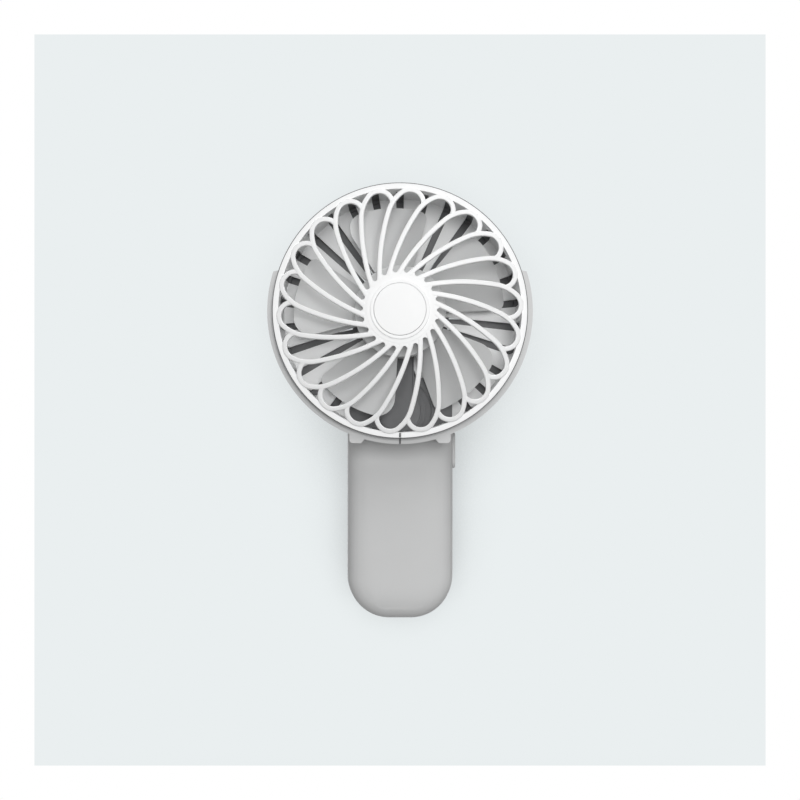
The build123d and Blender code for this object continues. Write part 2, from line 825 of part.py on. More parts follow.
def gear_plate():
    left, right = dynamo_x - dynamo_radius, idler_x + dynamo_radius
    bottom, top = dynamo_height - dynamo_radius, battery_bottom
    face = Pos((left + right) / 2, (bottom + top) / 2) * Rectangle(right - left, top - bottom)
    face = fillet(face.vertices(), gear_plate_corner)
    plate = drawn_at(0, 0) * between(gear_plate_front, gear_plate_back, face)
    plate -= drawn_at(idler_x, idler_height) * rod(axle_radius, gear_plate_front, gear_plate_back)
    plate -= drawn_at(dynamo_x, dynamo_height) * rod(bush_radius + snug, gear_plate_front, gear_plate_back)
    return plate & drawn_at(0, 0) * between(cavity_front, cavity_back, handle_face(handle_wall + snug))


def dynamo_can():
    can = tube(dynamo_radius, dynamo_radius - dynamo_wall, cavity_front + snug, gear_plate_front)
    back = tube(dynamo_radius, shaft_radius + running, gear_plate_front - dynamo_wall, gear_plate_front)
    front = rod(dynamo_radius, cavity_front + snug, cavity_front + snug + dynamo_wall)
    return drawn_at(dynamo_x, dynamo_height) * (can + back + front)


def dynamo_rotor():
    """Magnet ring with its shaft, turning inside the coils."""
    front = cavity_front + snug + dynamo_wall + side_play
    back = gear_plate_front - dynamo_wall - side_play
    ring = rod(rotor_radius, front, back)
    shaft = rod(shaft_radius, back, layer_b_back)
    return drawn_at(dynamo_x, dynamo_height) * (ring + shaft)


def dynamo_coils():
    front = cavity_front + snug + dynamo_wall
    back = gear_plate_front - dynamo_wall
    outer = dynamo_radius - dynamo_wall
    coil = tube(outer, rotor_radius + air_gap, front, back)
    gap = between(front, back, radial_slot(rotor_radius, outer, coil_gap, coil_gap))
    yoke = tube(outer, outer - coil_yoke, front, back)
    return drawn_at(dynamo_x, dynamo_height) * (coil - turned(coil_count, 0, gap) + yoke)


def peg_face(top, grow):
    """Outline of the lying peg about the crank's centre, with a round lower end."""
    half = peg_width / 2 + grow
    middle = peg_hinge_rise - peg_long + peg_width / 2
    return Pos(0, (top + middle) / 2) * Rectangle(2 * half, top - middle) + Pos(0, middle) * Circle(half)


def crank_disc():
    disc = rod(crank_radius, crank_face + side_play, crank_back)
    disc = fillet(disc.edges().group_by(Axis.Z)[0], crank_round)
    disc += rod(stub_radius, layer_a_front, crank_face + side_play)
    floor = crank_face + side_play + groove_floor
    groove_top = peg_hinge_rise + peg_heel + side_play
    disc -= between(floor, crank_back, peg_face(groove_top, side_play))
    disc -= Pos(0, peg_hinge_rise - peg_long) * rod(scoop_radius, floor + scoop_floor, crank_back)
    disc -= rod(screw_radius, layer_a_front, layer_a_back)
    return drawn_at(0, crank_height) * disc - peg_axis_rod(peg_pin_radius, peg_pin_half)


def peg_axis_rod(radius, half):
    depth = crank_back - peg_heel - peg_sunk
    return crosswise(radius, -half, half, crank_height + peg_hinge_rise, depth)


def crank_peg():
    """Finger peg, lying down in its groove."""
    outer = crank_back - peg_sunk
    half = peg_width / 2
    peg = drawn_at(0, crank_height) * between(outer - peg_thick, outer, peg_face(peg_hinge_rise, 0))
    peg += peg_axis_rod(peg_heel, half)
    return peg - peg_axis_rod(peg_pin_radius + running, half)


def peg_pin():
    return peg_axis_rod(peg_pin_radius, peg_pin_half)


def crank_bush():
    front, back = layer_a_back + end_play, crank_face + side_play - end_play
    return drawn_at(0, crank_height) * tube(crank_bush_radius, stub_radius + running, front, back)


def crank_screw():
    head = rod(screw_head_radius, layer_a_front - screw_head_thick, layer_a_front)
    shank = rod(screw_radius, layer_a_front, layer_a_back)
    return drawn_at(0, crank_height) * (head + shank)


# ---- battery, board and switch ----

def battery():
    half = battery_width / 2
    top = battery_bottom + battery_tall
    front = cavity_front + snug
    cell = world_box(-half, half, front, front + battery_thick, battery_bottom, top)
    return fillet(cell.edges().filter_by(Axis.Z), battery_corner)


def circuit_board():
    back = board_front + board_thick
    board = world_box(board_left, board_right, board_front, back, board_bottom, board_top)
    for x, height in post_places():
        board -= drawn_at(x, height) * rod(post_radius + side_play, board_front, back)
    return board


def tact_switch():
    front = board_front + board_thick
    right = button_inner - stem_long - button_travel - snug - plunger_long
    box = world_box(right - switch_long, right, front, front + switch_deep,
                    button_height - switch_tall / 2, button_height + switch_tall / 2)
    plunger = crosswise(plunger_radius, right, right + plunger_long, button_height, front + switch_deep / 2)
    return box + plunger


pieces = [
    front_grille, hub_cap, rear_guard, rear_cover, lead_cover, head_cradle, cover_screws,
    impeller, motor_shaft, motor_can, motor_bushes, motor_magnets, motor_end_cap, armature, motor_screws,
    handle_front_shell, handle_rear_shell, handle_screws, hinge_pin, hinge_caps, hinge_washers,
    crank_disc, crank_peg, peg_pin, crank_bush, crank_gear, crank_screw,
    idler_gear, idler_axle, gear_plate, dynamo_pinion, dynamo_can, dynamo_rotor, dynamo_coils,
    battery, circuit_board, tact_switch, usb_socket, side_button,
]

os.makedirs("parts", exist_ok=True)
for piece in pieces:
    export_step(piece(), "parts/" + piece.__name__ + ".step")
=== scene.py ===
# %% [markdown]
# # Hand crank fan
# A white round head with a swirl grille stands on a light grey folding handle, and a crank sits in the
# handle's back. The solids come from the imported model. This script dresses them: the grille, the fan and
# the handle's front are modelled anew with soft, crowned forms, the other pieces get rounded edges, and
# every surface gets a finish of its own.

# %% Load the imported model
import json
import math

import bmesh
import bpy
from mathutils import Matrix, Vector


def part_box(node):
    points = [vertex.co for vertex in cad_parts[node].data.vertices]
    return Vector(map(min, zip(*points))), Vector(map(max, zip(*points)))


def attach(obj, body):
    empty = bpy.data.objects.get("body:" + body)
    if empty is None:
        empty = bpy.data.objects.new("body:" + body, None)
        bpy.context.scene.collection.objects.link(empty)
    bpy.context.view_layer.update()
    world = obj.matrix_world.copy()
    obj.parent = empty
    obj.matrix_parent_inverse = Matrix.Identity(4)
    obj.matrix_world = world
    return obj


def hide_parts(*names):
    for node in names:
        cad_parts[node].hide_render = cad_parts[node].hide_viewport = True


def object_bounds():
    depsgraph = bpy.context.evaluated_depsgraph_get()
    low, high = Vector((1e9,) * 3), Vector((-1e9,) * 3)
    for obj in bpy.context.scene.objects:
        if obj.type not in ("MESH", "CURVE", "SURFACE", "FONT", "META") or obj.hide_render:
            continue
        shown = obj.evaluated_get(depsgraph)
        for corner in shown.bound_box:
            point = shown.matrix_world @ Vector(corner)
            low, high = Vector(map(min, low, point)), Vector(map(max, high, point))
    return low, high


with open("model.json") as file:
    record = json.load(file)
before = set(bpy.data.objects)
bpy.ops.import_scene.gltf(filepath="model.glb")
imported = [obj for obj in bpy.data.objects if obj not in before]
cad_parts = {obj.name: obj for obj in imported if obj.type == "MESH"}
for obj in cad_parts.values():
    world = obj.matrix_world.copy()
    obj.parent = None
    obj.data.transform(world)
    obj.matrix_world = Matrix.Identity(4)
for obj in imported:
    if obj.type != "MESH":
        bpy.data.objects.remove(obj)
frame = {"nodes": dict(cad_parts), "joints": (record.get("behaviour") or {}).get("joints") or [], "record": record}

mm = 0.001
scene = bpy.context.scene
nodes = frame["nodes"]
joints = {joint["name"]: joint for joint in frame["joints"]}
cad_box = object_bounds()
print("nodes", len(nodes), "box in mm", [[round(v / mm, 1) for v in corner] for corner in cad_box])

# %% [markdown]
# ## Places
# The head is drawn as it is seen from the front: x to the right, y up, z towards the viewer, with z = 0
# on the front of the ring and the fan's axis in the middle. One matrix then stands the drawing up at the
# height of the fan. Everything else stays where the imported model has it.

# %% Places read from the frame
hinge_depth = 33.2 * mm
hinge_height = joints["head_fold"]["pos_m"][2]
fan_height = joints["impeller_spin"]["pos_m"][2]
ring_front = joints["head_fold"]["pos_m"][1] - hinge_depth
stand_up = Matrix.Rotation(math.radians(90), 4, "X")
at_fan = Matrix.Translation((0, ring_front, fan_height)) @ stand_up
print("ring front", round(ring_front / mm, 2), "fan height", round(fan_height / mm, 1))

# %% [markdown]
# ## Camera
# The photograph looks straight at the front, level and at half the fan's height. Deeper parts are a
# little smaller and drawn towards the middle, which a 45.6 mm lens at 0.38 m from the ring repeats.

# %% Camera
camera_data = bpy.data.cameras.new("camera")
camera_data.lens = 45.57
camera_data.sensor_width = 36.0
camera_distance = 380 * mm
camera_height = 88.2 * mm
camera = bpy.data.objects.new("camera", camera_data)
camera.location = (0, ring_front - camera_distance, camera_height)
camera.rotation_euler = (math.radians(90), 0, 0)
scene.collection.objects.link(camera)
scene.camera = camera
print("camera", [round(v, 4) for v in camera.location])

# %% [markdown]
# ## Node arithmetic
# A finish is a shader whose colour, roughness and bump vary over the surface. Node trees grow long in
# code, so two small classes keep them short. A Number wraps a socket, and plain arithmetic on it adds
# the Math nodes. A Finish owns a material, and one method makes all its other nodes.

# %% Numbers and finishes
class Number:
    """A value that varies over a surface."""

    def __init__(self, finish, socket):
        self.finish = finish
        self.socket = socket

    def __add__(self, other):
        return self.finish.math("ADD", self, other)

    def __radd__(self, other):
        return self.finish.math("ADD", other, self)

    def __sub__(self, other):
        return self.finish.math("SUBTRACT", self, other)

    def __rsub__(self, other):
        return self.finish.math("SUBTRACT", other, self)

    def __mul__(self, other):
        return self.finish.math("MULTIPLY", self, other)

    def __rmul__(self, other):
        return self.finish.math("MULTIPLY", other, self)


class Finish:
    """A node tree with short ways to add nodes, and a Principled shader where it is a material's."""

    def __init__(self, tree, settings=None):
        self.tree = tree
        self.shader = tree.nodes.get("Principled BSDF")
        for socket, value in (settings or {}).items():
            self.shader.inputs[socket].default_value = value

    def node(self, kind, settings=None, inputs=None, output=0):
        made = self.tree.nodes.new("ShaderNode" + kind)
        for key, value in (settings or {}).items():
            setattr(made, key, value)
        for key, value in (inputs or {}).items():
            self.feed(made.inputs[key], value)
        return Number(self, made.outputs[output])

    def feed(self, socket, value):
        if isinstance(value, Number):
            self.tree.links.new(value.socket, socket)
        else:
            socket.default_value = value

    def math(self, operation, first, second):
        return self.node("Math", {"operation": operation}, {0: first, 1: second})

    def place(self):
        """The point of the surface, in the object's own metres."""
        return self.node("TexCoord", output="Object")

    def noise(self, size, detail=2.0, roughness=0.5, stretch=(1.0, 1.0, 1.0)):
        """Noise from 0 to 1 whose features are about size metres wide."""
        spot = self.node("Mapping", None, {"Vector": self.place(), "Scale": stretch})
        return self.node("TexNoise", None, {"Vector": spot, "Scale": 1 / size, "Detail": detail,
                                            "Roughness": roughness})

    def between(self, value, low, high):
        """0 up to low, 1 from high on, and a smooth step between."""
        return self.node("MapRange", {"interpolation_type": "SMOOTHSTEP"},
                         {"Value": value, "From Min": low, "From Max": high})

    def tinted(self, colour, tone):
        return self.node("VectorMath", {"operation": "SCALE"}, {0: colour, "Scale": tone})

    def mixed(self, share, first, second):
        """A colour between two colours."""
        return self.node("Mix", {"data_type": "RGBA"}, {0: share, 6: first, 7: second}, output=2)

    def wear(self, colour, roughness):
        self.feed(self.shader.inputs["Base Color"], colour)
        self.feed(self.shader.inputs["Roughness"], roughness)

    def bump(self, height, depth):
        """Raises the surface by depth metres where height is 1."""
        bump = self.node("Bump", None, {"Height": height, "Distance": depth}, output="Normal")
        self.feed(self.shader.inputs["Normal"], bump)


materials = {}


def new_finish(name, settings):
    materials[name] = bpy.data.materials.new(name)
    materials[name].use_nodes = True
    return Finish(materials[name].node_tree, settings)

# %% [markdown]
# ### Plastics
# Moulded ABS is never one flat tone. The melt leaves faint clouds, the spark-eroded mould gives the skin
# a fine grain, and hands polish some patches and scratch others. One recipe serves all the plastic
# parts, with another colour, grain and roughness for each.

# %% Plastics
def moulded(name, colour, roughness, grain_size, grain_depth, clouding):
    cloud_size = 18 * mm
    speck_size = 0.6 * mm
    polish_size = 9 * mm
    scratch_size = 2 * mm
    upright = (1.0, 1.0, 0.06)
    finish = new_finish(name, {"IOR": 1.46, "Specular IOR Level": 0.4})
    clouds = finish.noise(cloud_size, 3.0)
    specks = finish.noise(speck_size)
    grain = finish.noise(grain_size, 2.0, 0.6)
    polished = finish.between(finish.noise(polish_size, 4.0, 0.6), 0.45, 0.7)
    scratches = finish.between(finish.noise(scratch_size, 3.0, 0.7, upright), 0.64, 0.7)
    tone = 1 + clouding * (clouds - 0.5) + 0.4 * clouding * (specks - 0.5) - 0.015 * scratches
    finish.wear(finish.tinted(colour, tone),
                roughness + 0.08 * (clouds - 0.5) - 0.06 * polished + 0.05 * scratches)
    finish.bump(grain - 0.3 * scratches, grain_depth)


moulded("white_plastic", (0.90, 0.905, 0.905), 0.40, 0.9 * mm, 0.002 * mm, 0.02)
moulded("grey_plastic", (0.63, 0.635, 0.635), 0.55, 0.28 * mm, 0.006 * mm, 0.05)
moulded("charcoal_plastic", (0.15, 0.152, 0.156), 0.50, 0.30 * mm, 0.006 * mm, 0.10)
moulded("black_plastic", (0.03, 0.03, 0.032), 0.50, 0.30 * mm, 0.005 * mm, 0.12)
moulded("gear_plastic", (0.83, 0.81, 0.73), 0.35, 0.50 * mm, 0.002 * mm, 0.04)
print("plastics", sorted(materials))

# %% [markdown]
# ### Metals
# Turned and rolled parts show fine lines along the tool's path, and plating is not equally thick
# everywhere. Stretched noise draws the lines, and slow noise changes the tint and the gloss.

# %% Metals
def metal(name, colour, roughness, stretch, line_depth, tint=0.08):
    line_size = 0.5 * mm
    cloud_size = 4 * mm
    finish = new_finish(name, {"Metallic": 1.0})
    lines = finish.noise(line_size, 3.0, 0.6, stretch)
    clouds = finish.noise(cloud_size, 3.0)
    finish.wear(finish.tinted(colour, 1 + tint * (clouds - 0.5) + 0.5 * tint * (lines - 0.5)),
                roughness + 0.2 * (lines - 0.5) + 0.1 * (clouds - 0.5))
    finish.bump(lines, line_depth)


metal("steel", (0.60, 0.60, 0.61), 0.32, (1.0, 0.05, 1.0), 0.002 * mm)
metal("plated_steel", (0.72, 0.71, 0.69), 0.24, (0.1, 1.0, 1.0), 0.001 * mm)
metal("iron", (0.26, 0.26, 0.27), 0.50, (0.05, 2.0, 0.05), 0.02 * mm)
metal("magnet", (0.12, 0.12, 0.13), 0.60, (1.0, 1.0, 1.0), 0.01 * mm)
metal("brass", (0.75, 0.60, 0.30), 0.30, (0.05, 1.0, 0.05), 0.002 * mm)
metal("copper", (0.72, 0.36, 0.19), 0.35, (0.05, 2.0, 0.05), 0.03 * mm, 0.3)

# %% [markdown]
# ### Cell wrap and circuit board
# The cell's foil pouch is dull and softly crinkled. The board's green mask lets paler copper tracks
# shine through, and a Voronoi pattern in city-block distance suggests their steps and corners.

# %% Cell wrap and board
def foil(name, colour):
    crinkle_size = 5 * mm
    crinkle_depth = 0.15 * mm
    fine_size = 0.7 * mm
    finish = new_finish(name, {"Metallic": 0.6})
    crinkle = finish.noise(crinkle_size, 4.0, 0.6)
    fine = finish.noise(fine_size)
    finish.wear(finish.tinted(colour, 0.95 + 0.1 * crinkle), 0.35 + 0.15 * fine)
    finish.bump(crinkle + 0.1 * fine, crinkle_depth)


def solder_mask(name, colour, track_colour):
    track_pitch = 2.4 * mm
    track_depth = 0.03 * mm
    dust_size = 1.5 * mm
    finish = new_finish(name, {"Coat Weight": 0.3})
    cells = finish.node("TexVoronoi", {"distance": "MANHATTAN"},
                        {"Vector": finish.place(), "Scale": 1 / track_pitch})
    tracks = finish.between(cells, 0.5, 0.55)
    dust = finish.noise(dust_size, 3.0)
    finish.wear(finish.mixed(tracks, (*colour, 1), (*track_colour, 1)), 0.3 + 0.15 * dust)
    finish.bump(tracks + 0.1 * dust, track_depth)


foil("cell_wrap", (0.74, 0.75, 0.77))
solder_mask("board", (0.02, 0.16, 0.07), (0.05, 0.30, 0.13))

for part in frame["record"]["subparts"]:
    solid = nodes[part["node"]].data
    solid.materials.clear()
    solid.materials.append(materials[part["material_slot"]])
print("finishes", sorted(materials))

# %% [markdown]
# ## Mesh helpers
# Each piece is made in a bmesh and moved to its place there, so that its object stands at the origin.
# Edges sharper than a limit stay crisp, and a Weighted Normal modifier keeps flat faces flat beside a
# bevel, which then catches the light as a moulded edge does.

# %% Mesh helpers
merge_distance = 0.001 * mm
ring_steps = 180
hub_steps = 120
cup_steps = 96


def as_piece(name, bm, body, slot, *replaced, sharp=35, flat=True):
    """Ends a bmesh as an object with a body, a finish and the nodes that it stands for."""
    bmesh.ops.remove_doubles(bm, verts=bm.verts, dist=merge_distance)
    bmesh.ops.recalc_face_normals(bm, faces=bm.faces)
    mesh = bpy.data.meshes.new(name)
    bm.to_mesh(mesh)
    bm.free()
    mesh.shade_smooth()
    mesh.set_sharp_from_angle(angle=math.radians(sharp))
    mesh.materials.append(materials[slot])
    piece = bpy.data.objects.new(name, mesh)
    scene.collection.objects.link(piece)
    if flat:
        piece.modifiers.new("flat faces", "WEIGHTED_NORMAL").keep_sharp = True
    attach(piece, body)
    if replaced:
        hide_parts(*replaced)
    print(name, "faces", len(mesh.polygons), "on", body)
    return piece


def soften(bm, width, angle=30, segments=2):
    """Rounds every edge that is sharper than an angle."""
    limit = math.radians(angle)
    edges = [edge for edge in bm.edges if edge.is_manifold and edge.calc_face_angle() > limit]
    bmesh.ops.bevel(bm, geom=edges, offset=width, offset_type="OFFSET", affect="EDGES",
                    segments=segments, profile=0.5, material=-1, clamp_overlap=True)


def lathe(bm, profile, steps, angle=2 * math.pi):
    """Turns a closed profile of (radius, height) points about the z axis."""
    points = [bm.verts.new((radius, 0, height)) for radius, height in profile]
    pairs = zip(points, points[1:] + points[:1])
    edges = [bm.edges.new(pair) for pair in pairs if pair[0].co.x or pair[1].co.x]
    full = angle >= 2 * math.pi
    bmesh.ops.spin(bm, geom=points + edges, cent=(0, 0, 0), axis=(0, 0, 1), angle=angle,
                   steps=steps, use_merge=full, use_duplicate=False)
    bmesh.ops.remove_doubles(bm, verts=bm.verts, dist=merge_distance)


def fill_ends(bm):
    bmesh.ops.holes_fill(bm, edges=[edge for edge in bm.edges if edge.is_boundary], sides=0)


def repeat(bm, count):
    """Copies everything round the z axis, with equal steps over the full turn."""
    step = 2 * math.pi / count
    bmesh.ops.spin(bm, geom=bm.verts[:] + bm.edges[:] + bm.faces[:], cent=(0, 0, 0), axis=(0, 0, 1),
                   angle=step * (count - 1), steps=count - 1, use_duplicate=True)


def turn(bm, angle):
    bmesh.ops.rotate(bm, cent=(0, 0, 0), matrix=Matrix.Rotation(angle, 3, "Z"), verts=bm.verts)


def joined(*parts):
    """One bmesh from several, moved to the fan's axis."""
    whole = bmesh.new()
    for part in parts:
        bmesh.ops.recalc_face_normals(part, faces=part.faces)
        mesh = bpy.data.meshes.new("part")
        part.to_mesh(mesh)
        part.free()
        whole.from_mesh(mesh)
        bpy.data.meshes.remove(mesh)
    bmesh.ops.transform(whole, matrix=at_fan, verts=whole.verts)
    return whole

# %% [markdown]
# ## Front grille
# Twenty-two ribs leave the hub, lean over and end in small hooks, each of which closes on the next rib.
# A rib could be a bevelled curve, but sweeping its section keeps its flat, soft-edged face. Spin does
# that: the section is turned about the centre of each of three arcs, and the end of one arc starts the
# next. The rib is then lifted onto a shallow dome and repeated round the axis.

# %% Ribs
rib_count = 22
rib_width = 1.88 * mm
rib_deep = 2.0 * mm
rib_round = 0.45 * mm
rib_proud = 0.5 * mm
rib_reach = 45.8 * mm
rib_root = Vector((10.2 * mm, 8.55 * mm, 0))
rib_lean = math.radians(7.8)
rib_arcs = ((80.0 * mm, 19.0, 14), (14.4 * mm, 34.4, 12), (5.0 * mm, 138.0, 26))
rib_phase = math.radians(2.6)
hook_dip = 0.12 * mm
dome_radius = 190.0 * mm


def dome_height(radius):
    """Height of the grille's face over the ring, at a distance from the axis."""
    edge_height = math.sqrt(dome_radius ** 2 - rib_reach ** 2)
    return rib_proud + math.sqrt(dome_radius ** 2 - radius ** 2) - edge_height


def rib_section(bm):
    """A rounded rectangle that stands across the rib at its root."""
    bmesh.ops.create_grid(bm, x_segments=1, y_segments=1, size=0.5)
    bmesh.ops.scale(bm, vec=(rib_width, rib_deep, 1), verts=bm.verts)
    bmesh.ops.bevel(bm, geom=bm.verts[:], offset=rib_round, offset_type="OFFSET", affect="VERTICES",
                    segments=3, profile=0.5, material=-1)
    bmesh.ops.delete(bm, geom=bm.faces[:], context="FACES_ONLY")
    across = Matrix.Rotation(rib_lean + math.radians(90), 4, "Z") @ stand_up
    place = Matrix.Translation(rib_root + Vector((0, 0, -rib_deep / 2)))
    bmesh.ops.transform(bm, matrix=place @ across, verts=bm.verts)


def swept_arc(bm, section, spot, heading, radius, angle, steps):
    """Turns the section to the right along an arc, and says where the arc ends."""
    centre = spot + radius * Vector((math.sin(heading), -math.cos(heading), 0))
    swept = bmesh.ops.spin(bm, geom=section, cent=centre, axis=(0, 0, 1), angle=-angle, steps=steps,
                           use_duplicate=False)
    heading -= angle
    end = centre - radius * Vector((math.sin(heading), -math.cos(heading), 0))
    return swept["geom_last"], end, heading


def ribs():
    bm = bmesh.new()
    rib_section(bm)
    section = bm.verts[:] + bm.edges[:]
    spot = rib_root
    heading = rib_lean
    for radius, degrees, steps in rib_arcs:
        angle = math.radians(degrees)
        section, spot, heading = swept_arc(bm, section, spot, heading, radius, angle, steps)
    fill_ends(bm)
    hook_radius = rib_arcs[-1][0]
    for vert in bm.verts:
        near_end = max(0, 1 - (vert.co.xy - spot.xy).length / hook_radius)
        vert.co.z += dome_height(vert.co.xy.length) - hook_dip * near_end
    turn(bm, rib_phase)
    repeat(bm, rib_count)
    return bm

# %% [markdown]
# Round the hub the ribs grow out of a disc, and each gap between them ends in a small round bite. The
# disc is turned on the lathe with many steps, and the points on its rim move in where a bite is. The
# ring, its locating lip and the hub are lathe work too. The hub steps up to a collar round the cap, and
# those steps draw the fine circles in the middle. A short gap in the ring marks the bottom of the head,
# and the mark goes on in the cradle. A dark bar in the gap and one in the cradle are painted shade: they
# stand for the shadow deep in the narrow groove.

# %% Disc, ring and hub
web_radius = 14.6 * mm
web_round = 0.92 * mm
web_inner = 11.5 * mm
web_steps = 36 * rib_count
web_dip = 0.06 * mm
ring_radius = 47.8 * mm
ring_inner = 45.7 * mm
ring_deep = 3.2 * mm
ring_edge = 0.25 * mm
lip_outer = 46.75 * mm
lip_inner = 45.95 * mm
lip_deep = 2.0 * mm
mark_width = 0.8 * mm
mark_deep = 0.7 * mm
# How far the dark bars of painted shade sit in the groove, and the round on their edges.
shade_bar_sunk = 0.25 * mm
shade_bar_edge = 0.1 * mm
hub_radius = 12.6 * mm
hub_rise = 5.7 * mm
hub_thick = 2.6 * mm
hub_edge = 0.15 * mm
collar_radius = 11.0 * mm
collar_rise = 6.1 * mm
cap_radius = 9.7 * mm
cap_rise = 6.3 * mm
cap_thick = 1.4 * mm
cap_edge = 0.3 * mm
snug = 0.05 * mm


def bitten_radius(angle, first_bite):
    """Radius of the disc's rim: a bite is a circle about a point on the rim."""
    step = 2 * math.pi / rib_count
    off = (angle - first_bite + step / 2) % step - step / 2
    aside = web_radius * math.sin(off)
    if abs(aside) >= web_round:
        return web_radius
    return web_radius * math.cos(off) - math.sqrt(web_round ** 2 - aside ** 2)


def web():
    """The disc round the hub. Its first bite is half a step on from where a rib crosses the rim."""
    bm = bmesh.new()
    profile = [(web_inner, 0), (web_radius, 0), (web_radius, -rib_deep), (web_inner, -rib_deep)]
    lathe(bm, profile, web_steps)
    forward = Vector((math.cos(rib_lean), math.sin(rib_lean), 0))
    along = rib_root.dot(forward)
    run = math.sqrt(along ** 2 - rib_root.length_squared + web_radius ** 2) - along
    crossing = rib_root + run * forward
    first_bite = math.atan2(crossing.y, crossing.x) + rib_phase + math.pi / rib_count
    for vert in bm.verts:
        if vert.co.xy.length > (web_inner + web_radius) / 2:
            radius = bitten_radius(math.atan2(vert.co.y, vert.co.x), first_bite)
            vert.co.xy = radius * vert.co.xy.normalized()
        vert.co.z += dome_height(vert.co.xy.length) - web_dip
    return bm


def ring():
    """The ring with its locating lip, open at the bottom for the width of the mark."""
    bm = bmesh.new()
    profile = [(ring_inner, 0), (ring_radius, 0), (ring_radius, -ring_deep), (lip_outer, -ring_deep),
               (lip_outer, -ring_deep - lip_deep), (lip_inner, -ring_deep - lip_deep),
               (lip_inner, -ring_deep), (ring_inner, -ring_deep)]
    gap = mark_width / ring_radius
    lathe(bm, profile, ring_steps, 2 * math.pi - gap)
    fill_ends(bm)
    turn(bm, (gap - math.pi) / 2)
    bmesh.ops.recalc_face_normals(bm, faces=bm.faces)
    soften(bm, ring_edge)
    return bm


def mark_floor():
    """Bottom of the gap in the ring."""
    bm = bmesh.new()
    inner = ring_inner + snug
    outer = ring_radius - snug
    back = snug - ring_deep
    lathe(bm, [(inner, -mark_deep), (outer, -mark_deep), (outer, back), (inner, back)], ring_steps)
    return bm


def hub():
    bm = bmesh.new()
    seat = cap_radius + snug
    floor = cap_rise - cap_thick
    lathe(bm, [(0, floor), (seat, floor), (seat, collar_rise), (collar_radius, collar_rise),
               (collar_radius, hub_rise), (hub_radius, hub_rise), (hub_radius, hub_rise - hub_thick),
               (0, hub_rise - hub_thick)], hub_steps)
    bmesh.ops.recalc_face_normals(bm, faces=bm.faces)
    soften(bm, hub_edge)
    return bm


def cap():
    bm = bmesh.new()
    lathe(bm, [(0, cap_rise), (cap_radius, cap_rise), (cap_radius, cap_rise - cap_thick),
               (0, cap_rise - cap_thick)], hub_steps)
    bmesh.ops.recalc_face_normals(bm, faces=bm.faces)
    soften(bm, cap_edge)
    return bm


def shade_bar(inner, outer, front):
    """A dark bar of painted shade, from one radius to another at the bottom of the head, for the shadow in the
    groove.
    """
    bm = bmesh.new()
    bmesh.ops.create_cube(bm, size=1)
    bmesh.ops.scale(bm, vec=(mark_width - 2 * snug, outer - inner, mark_deep), verts=bm.verts)
    centre = (0, -(outer + inner) / 2, front - shade_bar_sunk - mark_deep / 2)
    bmesh.ops.translate(bm, vec=centre, verts=bm.verts)
    soften(bm, shade_bar_edge)
    return bm


grille = joined(ribs(), web(), ring(), mark_floor(), hub())
as_piece("swirl_grille", grille, "head", "white_plastic", "front_grille")
as_piece("plain_cap", joined(cap()), "head", "white_plastic", "hub_cap")
cradle_front = ring_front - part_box("head_cradle")[0].y
cradle_inner = 48.2 * mm
cradle_outer = 50.2 * mm
# Dark bars of painted shade in the ring's gap and in the cradle's groove, for the shadow deep in the mark.
ring_shade_bar = shade_bar(ring_inner + shade_bar_sunk, ring_radius - shade_bar_sunk, 0)
cradle_shade_bar = shade_bar(cradle_inner, cradle_outer, cradle_front)
as_piece("index_mark", joined(ring_shade_bar, cradle_shade_bar), "head", "charcoal_plastic")

# %% [markdown]
# ## Fan
# Five blades stand on a cup that hides the motor. A blade is a helicoid: the further a point is round
# the axis, the deeper it lies. A grid is bent into that shape, its outer corners are rounded by pulling
# the last rows in along an arc, solidify gives it a thickness, and a bevel rounds its rim.

# %% Fan
blade_count = 5
blade_phase = math.radians(26.5)
blade_span = math.radians(48.5)
blade_radius = 40.7 * mm
blade_root = 16.7 * mm
blade_front = 5.6 * mm
blade_back = 16.8 * mm
blade_thick = 1.2 * mm
blade_edge = 0.45 * mm
near_round = 8.0 * mm
far_round = 3.0 * mm
cup_radius = 17.4 * mm
cup_front = 2.6 * mm
cup_back = 17.4 * mm
cup_wall = 1.4 * mm
cup_edge = 0.5 * mm


def blade_end(angle):
    """Outer radius of the blade at an angle from its middle, with a round on each corner."""
    reach = blade_radius
    for corner, gap in ((near_round, blade_span / 2 - angle), (far_round, blade_span / 2 + angle)):
        inside = gap * blade_radius
        if inside < corner:
            reach -= corner - math.sqrt(corner ** 2 - (corner - inside) ** 2)
    return reach


def blades():
    bm = bmesh.new()
    bmesh.ops.create_grid(bm, x_segments=22, y_segments=40, size=1)
    for vert in bm.verts:
        angle = blade_span / 2 * math.sin(vert.co.y * math.pi / 2)
        radius = blade_root + (vert.co.x + 1) / 2 * (blade_end(angle) - blade_root)
        depth = (blade_front + blade_back) / 2 + (blade_front - blade_back) * angle / blade_span
        vert.co = (radius * math.cos(angle), radius * math.sin(angle), -depth - blade_thick / 2)
    bmesh.ops.solidify(bm, geom=bm.faces[:], thickness=-blade_thick)
    bmesh.ops.recalc_face_normals(bm, faces=bm.faces)
    soften(bm, blade_edge, angle=50, segments=3)
    turn(bm, blade_phase)
    repeat(bm, blade_count)
    return bm


def cup():
    """The cup, with a boss inside that is bored for the motor's shaft."""
    bm = bmesh.new()
    shaft = 1.0 * mm
    boss = 3.2 * mm
    boss_end = 5.6 * mm
    floor = cup_front + cup_wall
    bore_end = floor - cup_wall / 2
    inner = cup_radius - cup_wall
    lathe(bm, [(0, -cup_front), (cup_radius, -cup_front), (cup_radius, -cup_back), (inner, -cup_back),
               (inner, -floor), (boss, -floor), (boss, -boss_end), (shaft, -boss_end),
               (shaft, -bore_end), (0, -bore_end)], cup_steps)
    bmesh.ops.recalc_face_normals(bm, faces=bm.faces)
    soften(bm, cup_edge, segments=3)
    return bm


as_piece("five_blade_fan", joined(blades(), cup()), "impeller", "grey_plastic", "impeller")

